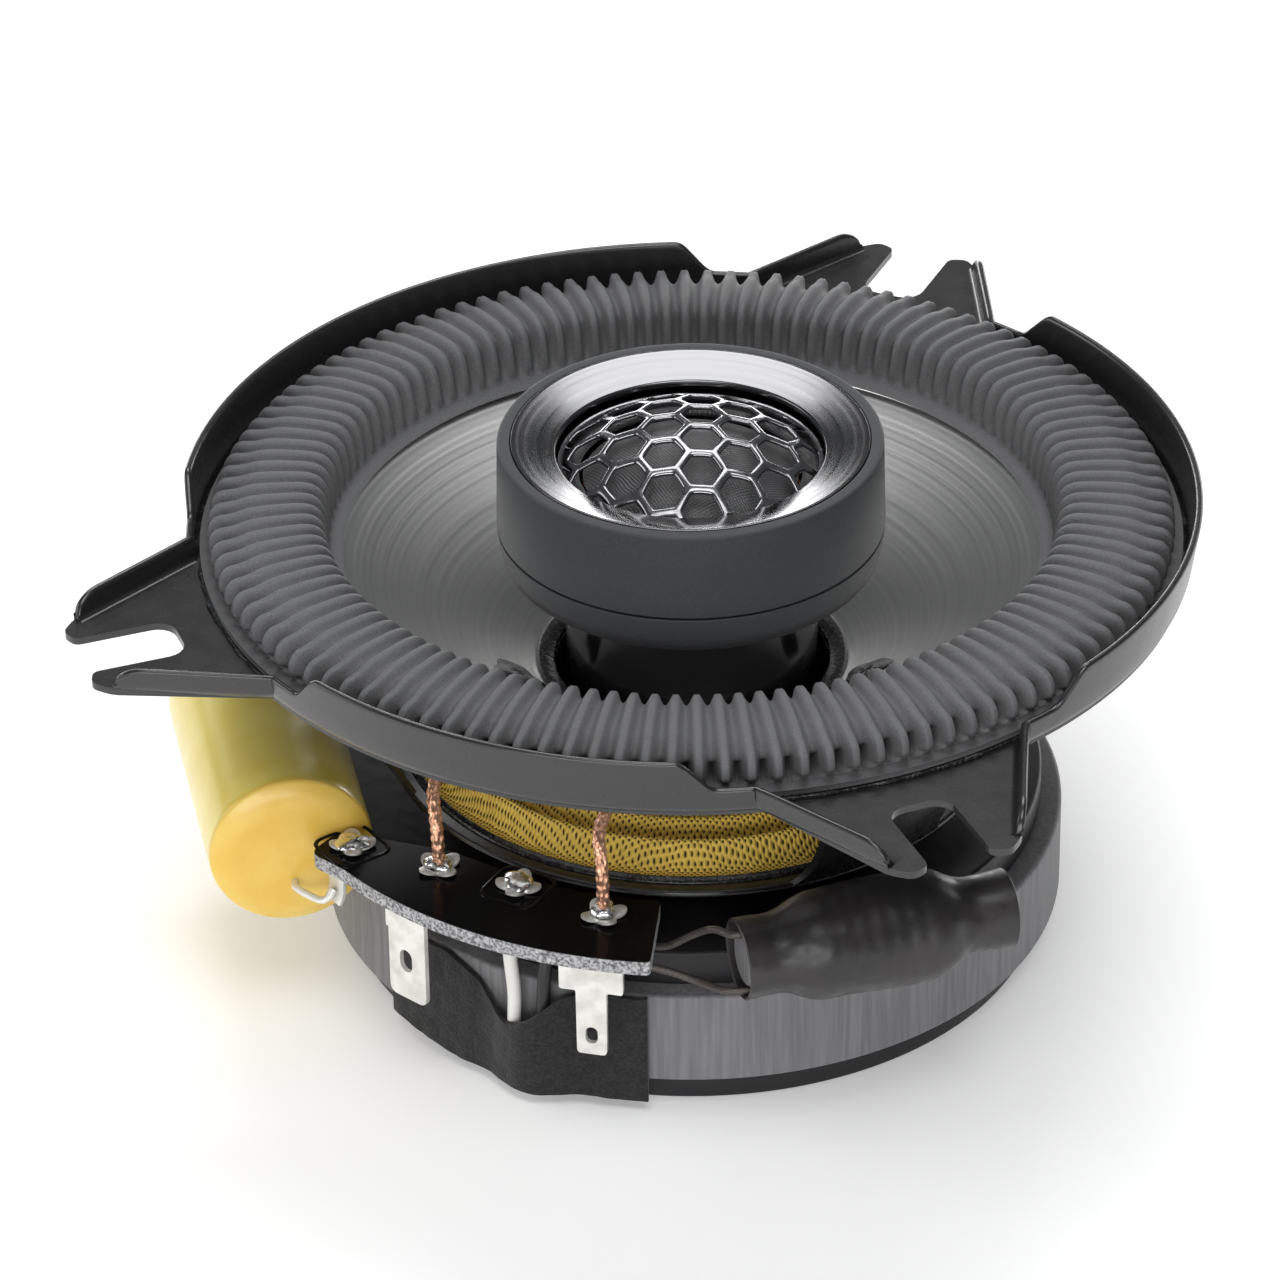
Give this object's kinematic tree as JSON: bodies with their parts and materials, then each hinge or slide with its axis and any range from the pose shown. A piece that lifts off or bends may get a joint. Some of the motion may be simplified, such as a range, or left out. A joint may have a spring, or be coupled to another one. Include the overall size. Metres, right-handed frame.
{
  "type": "coaxial car speaker",
  "caption": "Round coaxial car speaker with a forked-ear steel basket, pleated surround, metal cone, tweeter pod on a post and a side terminal board.",
  "frame": {"origin": "centre of the rear face, on the axis of the speaker", "axes": "+Z the way the sound leaves; the basket's plane of symmetry is YZ, with one ear towards +Y and the terminal board towards -Y"},
  "size_m": [0.0969, 0.1079, 0.0535],
  "materials": {
    "basket_steel": "satin",
    "black_steel": "satin",
    "ferrite": "matte",
    "rubber": "matte",
    "cone_metal": "satin",
    "spider_cloth": "matte",
    "black_plastic": "gloss",
    "pod_plastic": "matte",
    "black_chrome": "polished",
    "grille_metal": "polished",
    "dome_cloth": "satin",
    "board_fibre": "satin",
    "tinned_metal": "matte",
    "solder": "gloss",
    "copper": "satin",
    "capacitor_film": "gloss",
    "epoxy": "satin",
    "heat_shrink": "satin",
    "white_insulation": "satin",
    "black_insulation": "satin",
    "tape_cloth": "matte",
    "label_foil": "satin",
    "bare_steel": "satin",
    "bare_aluminium": "satin"
  },
  "bodies": {
    "frame": {"pole_yoke": "black_steel", "rear_label": "label_foil", "magnet_ring": "ferrite", "top_plate": "black_steel", "basket": "basket_steel", "surround": "rubber", "spider": "spider_cloth", "tinsel_lead_left": "copper", "tinsel_lead_right": "copper", "tweeter_post": "black_plastic", "tweeter_pod_base": "pod_plastic", "tweeter_pod_sleeve": "pod_plastic", "tweeter_bezel": "black_chrome", "tweeter_grille": "grille_metal", "tweeter_yoke": "bare_steel", "tweeter_magnet": "bare_steel", "tweeter_top_plate": "bare_steel", "tweeter_face_ring": "pod_plastic", "tweeter_suspension": "dome_cloth", "terminal_board": "board_fibre", "positive_tab": "tinned_metal", "negative_tab": "tinned_metal", "solder_tag": "tinned_metal", "spare_rivet": "tinned_metal", "solder_solder_tag": "solder", "solder_positive_tab": "solder", "solder_spare_rivet": "solder", "solder_negative_tab": "solder", "capacitor_wrap": "capacitor_film", "capacitor_roll": "capacitor_film", "capacitor_fill_front": "epoxy", "capacitor_fill_back": "epoxy", "capacitor_lead_front": "tinned_metal", "inductor_sleeve": "heat_shrink", "inductor_core": "ferrite", "inductor_winding": "copper", "inductor_lead_inner": "copper", "inductor_lead_outer": "copper", "tweeter_wire_white": "white_insulation", "tweeter_wire_black": "black_insulation", "insulation_tape": "tape_cloth"},
    "cone_assembly": {"cone": "cone_metal", "voice_coil_former": "bare_aluminium", "voice_coil_winding": "copper"},
    "tweeter_diaphragm": {"tweeter_dome": "dome_cloth", "tweeter_coil_former": "bare_aluminium", "tweeter_coil_winding": "copper"}
  },
  "joints": [
    {"name": "cone_excursion", "type": "slide", "parent": "frame", "child": "cone_assembly", "axis": [0, 0, 1], "range_m": [-0.0025, 0.0025], "stiffness_N_per_m": 1200, "deforming": ["surround", "spider", "tinsel_lead_left", "tinsel_lead_right"]},
    {"name": "tweeter_excursion", "type": "slide", "parent": "frame", "child": "tweeter_diaphragm", "axis": [0, 0, 1], "range_m": [-0.0003, 0.0003], "stiffness_N_per_m": 300, "deforming": ["tweeter_suspension"]}
  ]
}
